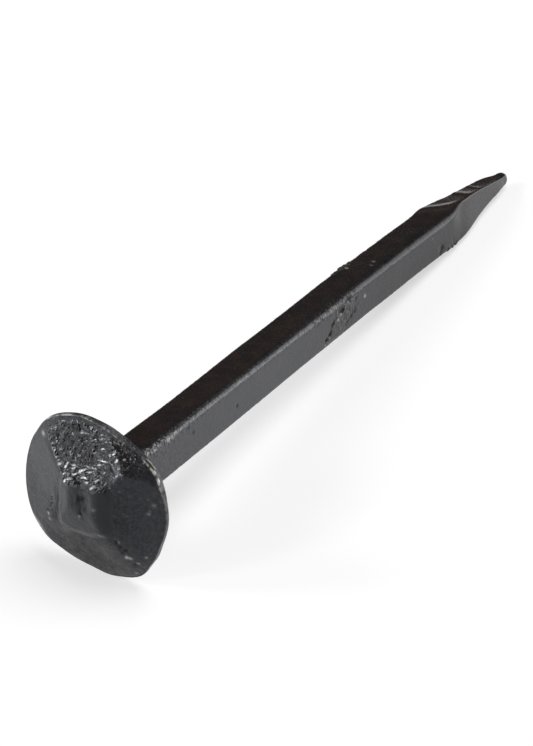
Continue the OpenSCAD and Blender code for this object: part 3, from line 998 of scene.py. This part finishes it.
def build_head():
    bearings = np.arange(0, 360, HEAD_STEP)
    cosines, sines = np.cos(np.radians(bearings)), np.sin(np.radians(bearings))
    reach = outline_reach(HEAD_OUTLINE, bearings, OUTLINE_SOFTNESS)
    hole = hole_reach(bearings)
    inner, edge, back_edge = hole * HOLE_INSET, reach - RIM_FRONT_ROUND, reach - RIM_BACK_ROUND
    front = plate_height(edge * cosines, edge * sines)
    rings = []

    def ring(radius, height):
        rings.append(np.stack([radius * cosines, -height * np.ones(len(bearings)), radius * sines], -1))

    for share in FRONT_RINGS:
        radius = inner + (edge - inner) * share
        ring(radius, plate_height(radius * cosines, radius * sines))
    for angle in np.radians(RIM_FRONT_ANGLES):
        ring(edge + RIM_FRONT_ROUND * math.sin(angle), front - RIM_FRONT_ROUND * (1 - math.cos(angle)))
    for share in SIDE_RINGS:
        height = (front - RIM_FRONT_ROUND) * (1 - share) + RIM_BACK_ROUND * share
        ring(reach - SLIT_DEPTH * slit_at(bearings, front - height), height)
    for angle in np.radians(RIM_BACK_ANGLES):
        ring(back_edge + RIM_BACK_ROUND * math.sin(angle), RIM_BACK_ROUND * (1 - math.cos(angle)))
    for share in BACK_RINGS:
        ring(back_edge + (hole - back_edge) * share, 0.0)
    for share in HOLE_RINGS:
        ring(hole + (inner - hole) * share, CROWN * share * HOLE_TOP)
    points = np.concatenate(rings)
    from_rim = np.tile(reach, len(rings)) - np.hypot(points[:, 0], points[:, 2])
    drop = np.tile(front, len(rings)) + points[:, 1]
    faces = ring_faces(len(rings), len(bearings), close=True)
    masks = head_masks(points, from_rim, drop)
    make_piece("forged_head", points, faces, "head_plate", head_black, masks)


def shell_mask(values, used):
    """A mask for the points of a patch_shell: the values on its top and 0 on its back."""
    return np.concatenate([values[used], np.zeros(used.sum())])


# Crust: the grid over it, how far it reaches into the head, and how far its shell goes past its outline and
# stays off the rim
CRUST_RIGHT, CRUST_UP, CRUST_STEP = (-11.3, 11.0), (2.8, 16.3), 0.1
CRUST_BACK = 0.4
CRUST_PAST, CRUST_OFF_RIM = 0.9, 0.5


def build_crust():
    z, x = np.meshgrid(np.arange(*CRUST_UP, CRUST_STEP), np.arange(*CRUST_RIGHT, CRUST_STEP), indexing="ij")
    base = np.stack([x, -front_height(x, z), z], -1)
    flat = np.stack([x, np.zeros_like(x), z], -1)

    def rough(size, seed):
        return grain(flat + seed, size, 2)

    inside = signed_distance(CRUST_OUTLINE, x, z)
    from_rim = outline_reach(HEAD_OUTLINE, bearing_of(x, z), OUTLINE_SOFTNESS) - np.hypot(x, z)
    # The lower left border is a sharp scarp, the others run out
    scarp = smooth(0.0, 3.0, -x - 1.0) * fade(9.0, 12.0, z)
    shown = smooth(-0.1, 1.7 - 1.1 * scarp, inside + 0.45 * rough(1.3, 3.0)) * smooth(0.6, 1.2, from_rim)
    strong = np.clip(ovals(x, z, WRINKLED), 0, 1)
    left, outer = smooth(-3.0, -0.5, -x) * smooth(6.5, 8.5, z), smooth(5.5, 7.5, x)
    warped_x, warped_z = x + 0.16 * rough(0.9, 5.0), z + 0.16 * rough(0.9, 8.0)
    sharp = wrinkles(warped_x, warped_z, bearing=32, length=1.5, width=0.45, seed=1.5)
    bent_x = warped_x + 0.25 * rough(3.5, 20.0)
    folds = wrinkles(bent_x, warped_z, bearing=76, length=2.2, width=0.9, seed=4.5)
    bright, dark = flakes(warped_x, warped_z, CRUST_GLINT_FLAKES), flakes(warped_x, warped_z, CRUST_SLITS)
    relief = 0.24 * strong * sharp + 0.26 * left * folds * (1 - strong) + 0.2 * bright - 0.3 * dark
    relief += 0.07 * rough(0.65, 30.0) + 0.08 * rough(0.34, 50.0)
    relief *= 1 - 0.55 * outer
    lift, sink = 0.09 - 0.07 * outer, 0.08 - 0.05 * outer
    thickness = shown * (lift + 0.06 * strong + relief) - sink * (1 - shown)
    # Painted glints: the flakes, the crests of the strong wrinkles and scattered specks take the pale steel
    # colour, which stands in for highlights
    bare_and_glints = 1.6 * bright * (0.8 + 0.4 * rough(0.5, 70.0)) + 0.18 * strong * smooth(0.5, 0.9, sharp)
    bare_and_glints += 0.36 * smooth(0.42 - 0.1 * outer, 0.66, rough(0.38, 90.0))
    # Painted light on the crests of the wrinkles and folds and painted shade between them and in the dark
    # slits; glossier further out and at random
    gloss = 0.6 * left * folds + strong * (sharp - 0.9) + 1.1 * rough(0.4, 110.0) + 0.9 * outer - 1.8 * dark
    forward = np.broadcast_to(np.array([0.0, -1.0, 0.0]), base.shape)
    keep = (inside > -CRUST_PAST) & (from_rim > CRUST_OFF_RIM)
    points, faces, used = patch_shell(base, forward, thickness, CRUST_BACK, keep)
    masks = {"rusty": np.zeros(len(points)), "chips_and_glints": shell_mask(bare_and_glints * shown, used),
             "painted_light_and_gloss": shell_mask(gloss, used)}
    make_piece("head_crust", points, faces, "head_scale", crust_black, masks)


# Scabs of scale on the bar: outline as (station, turn), thickness, share of it in lumps, gloss
SCABS = (
    (((76.0, 3.25), (81.5, 3.25), (86.5, 3.5), (89.5, 3.75), (92.0, 4.02), (87.0, 4.08), (84.2, 3.87),
      (80.5, 3.7), (78.0, 3.45)), 0.2, 0.45, 0.1),
    (((94.2, 0.95), (102.5, 0.93), (101.9, 1.2), (94.4, 1.24)), 0.55, 1.0, -1.0),
    (((131.8, 3.0), (137.0, 3.0), (136.6, 3.3), (132.3, 3.3)), 0.45, 1.0, -0.5),
)
# Bright specks on them
SCAB_SPECKS = (
    (82.6, 3.72, 0.3, 0.8), (84.2, 3.81, 0.25, 0.6), (76.6, 3.3, 0.35, 0.8), (77.4, 3.33, 0.3, 0.6),
    (98.3, 1.04, 0.25, 0.5),
)
# Their grids: the margin and the step, each along the bar and round it; how far their shells go past their
# outlines, how far they reach into the bar, and their brown tint
SCAB_MARGIN, SCAB_STEP = (1.2, 0.12), (0.14, 0.018)
SCAB_PAST = 0.8
SCAB_BACK = 0.35
SCAB_RUST = 0.2


def build_scabs():
    all_points, all_faces, chips_and_glints, painted_light_and_gloss, total = [], [], [], [], 0
    for outline, thick, lumpy, gloss in SCABS:
        low, high = np.min(outline, 0) - SCAB_MARGIN, np.max(outline, 0) + SCAB_MARGIN
        at, turn = np.meshgrid(*[np.arange(*span) for span in zip(low, high, SCAB_STEP)], indexing="ij")
        plain, normal = bar_point(at, turn), bar_normal(at, turn)
        base = plain + normal * bar_relief(at, np.mod(turn, 4.0), plain)[..., None]
        inside = signed_distance([(station, ROUND * t) for station, t in outline], at, ROUND * turn)
        shown = smooth(-0.1, 0.4, inside + 0.5 * grain(base, 1.4, 2))
        shape = lumpy * (0.65 * lumps(base, 1.3) + 0.35 * lumps(base + 20.0, 0.7))
        shape += (1 - lumpy) * (0.45 + 0.3 * grain(base * (1.0, 0.35, 1.0) + 40.0, 0.5, 2))
        crack = cracks(at, turn)
        thickness = shown * (thick * (0.15 + shape) - 0.25 * crack) - 0.1 * (1 - shown)
        kept = inside > -SCAB_PAST
        points, faces, used = patch_shell(turned(base), turned(normal), thickness, SCAB_BACK, kept)
        chips_and_glints.append(shell_mask(bar_spots(at, turn, SCAB_SPECKS) * shown, used))
        # Painted shade in the cracks, where the finish reflects less
        painted_light_and_gloss.append(shell_mask(gloss - 1.6 * crack, used))
        all_points.append(points)
        all_faces.extend(tuple(i + total for i in face) for face in faces)
        total += len(points)
    points = np.concatenate(all_points)
    masks = {"rusty": np.full(total, SCAB_RUST), "chips_and_glints": np.concatenate(chips_and_glints),
             "painted_light_and_gloss": np.concatenate(painted_light_and_gloss)}
    make_piece("bar_scabs", points, all_faces, "shank_scale", scab_black, masks)


bar_black = black_finish("bar_black", (0.008, 0.008, 0.009), (0.026, 0.018, 0.015), CREAM, BLUISH,
                         roughness=(0.20, 0.32), ior=1.5, pit_depth=0.004, wave_depth=0.010)
head_black = black_finish("head_black", (0.006, 0.0065, 0.0085), (0.017, 0.013, 0.012), PALE, BLUER,
                          roughness=(0.22, 0.36), ior=1.44, pit_depth=0.02, wave_depth=0.045)
crust_black = black_finish("crust_black", (0.009, 0.009, 0.010), (0.026, 0.019, 0.015), GLINT_STEEL, BLUISH,
                           roughness=(0.12, 0.24), ior=1.5, pit_depth=0.02, wave_depth=0.03)
scab_black = black_finish("scab_black", (0.012, 0.012, 0.012), (0.032, 0.022, 0.017), CREAM, BLUISH,
                          roughness=(0.20, 0.36), ior=1.54, pit_depth=0.03, wave_depth=0.03)

build_bar()
build_head()
build_crust()
build_scabs()

# Floor, in metres: a disc that glows a little where it is seen, straight or in a reflection
FLOOR_REACH = 0.62
FLOOR_MIDDLE = 0.08
FLOOR_SIDES = 96
FLOOR_GLOW = 0.57
FLOOR_PAPER = (0.54, 0.54, 0.54, 1)
# Square lamps, in metres: name, direction from the aim, distance, width, radiance; and the aim
LAMPS = (
    ("left_box", (-0.72, -0.50, 0.48), 1.2, 0.3, 14.0), ("top_box", (0.10, 0.28, 0.955), 1.3, 1.0, 3.4),
    ("front_box", (-0.40, -0.78, 0.48), 1.2, 0.18, 18.0),
)
LAMPS_AIM = (0.0, 0.08, 0.0)
CAMERA_CLIP = (0.01, 50.0)


def build_floor():
    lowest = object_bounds()[0].z
    mesh = bpy.data.meshes.new("floor")
    rim = [(FLOOR_REACH * math.cos(a), FLOOR_MIDDLE + FLOOR_REACH * math.sin(a), lowest)
           for a in np.linspace(0, 2 * math.pi, FLOOR_SIDES, endpoint=False)]
    mesh.from_pydata(rim, [], [tuple(range(len(rim)))])
    floor = bpy.data.objects.new("floor", mesh)
    bpy.context.scene.collection.objects.link(floor)
    material = bpy.data.materials.new("floor_paper")
    n = Nodes(material)
    n.tree.nodes.remove(n.tree.nodes["Principled BSDF"])
    rays = n.add("LightPath").outputs
    seen = n.math("ADD", rays["Is Camera Ray"], rays["Is Glossy Ray"])
    seen = n.math("ADD", seen, rays["Is Transmission Ray"])
    glow = n.add("Emission", {"Color": WHITE, "Strength": n.math("MULTIPLY", seen, FLOOR_GLOW, clamp=True)})
    paper = n.add("BsdfDiffuse", {"Color": FLOOR_PAPER})
    both = n.add("AddShader", {0: paper.outputs[0], 1: glow.outputs[0]})
    n.feed(n.tree.nodes["Material Output"], {"Surface": both.outputs[0]})
    mesh.materials.append(material)


def aimed(name, data, place, back):
    """A lamp or camera at a place, looking the other way from back."""
    thing = bpy.data.objects.new(name, data)
    thing.location = place
    thing.rotation_mode = "QUATERNION"
    thing.rotation_quaternion = (-back).to_track_quat("-Z", "Y")
    bpy.context.scene.collection.objects.link(thing)
    return thing


def build_light():
    for name, direction, distance, width, radiance in LAMPS:
        lamp = bpy.data.lights.new(name, "AREA")
        lamp.shape = "RECTANGLE"
        lamp.size = lamp.size_y = width
        lamp.energy = radiance * math.pi * width * width
        back = Vector(direction).normalized()
        aimed(name, lamp, Vector(LAMPS_AIM) + back * distance, back)
    world = bpy.data.worlds.new("studio")
    bpy.context.scene.world = world
    n = Nodes(world, "Generated")
    # Pale low down all round but for a dark flag, with one glow behind the point and one in front of the head
    height = n.add("SeparateXYZ", {0: n.place}).outputs["Z"]
    low_down = n.remap(height, (0.10, 0.16), (0.97, 0.0), "SMOOTHSTEP")
    off_flag = n.facing((-0.6, 0.8, 0.0), (0.82, 0.92), (1.0, 0.0), "SMOOTHSTEP")
    glow = n.facing((0.635, 0.75, 0.185), (0.82, 1.0), (0.03, 2.55))
    front_glow = n.facing((-0.44, -0.87, 0.22), (0.945, 1.0), (0.0, 2.9))
    level = n.math("ADD", n.math("MULTIPLY", low_down, off_flag), n.math("ADD", glow, front_glow))
    n.feed(n.tree.nodes["Background"], {"Color": WHITE, "Strength": level})


def build_camera():
    data = bpy.data.cameras.new("camera")
    data.lens = CAMERA_LENS
    data.sensor_width = SENSOR
    data.clip_start, data.clip_end = CAMERA_CLIP
    a, e = math.radians(CAMERA_AZIMUTH), math.radians(CAMERA_ELEVATION)
    back = Vector((math.sin(a) * math.cos(e), -math.cos(a) * math.cos(e), math.sin(e)))
    bpy.context.scene.camera = aimed("camera", data, Vector(CAMERA_AT) * MM, back)


build_floor()
build_light()
build_camera()
bpy.context.scene.view_settings.view_transform = "Standard"
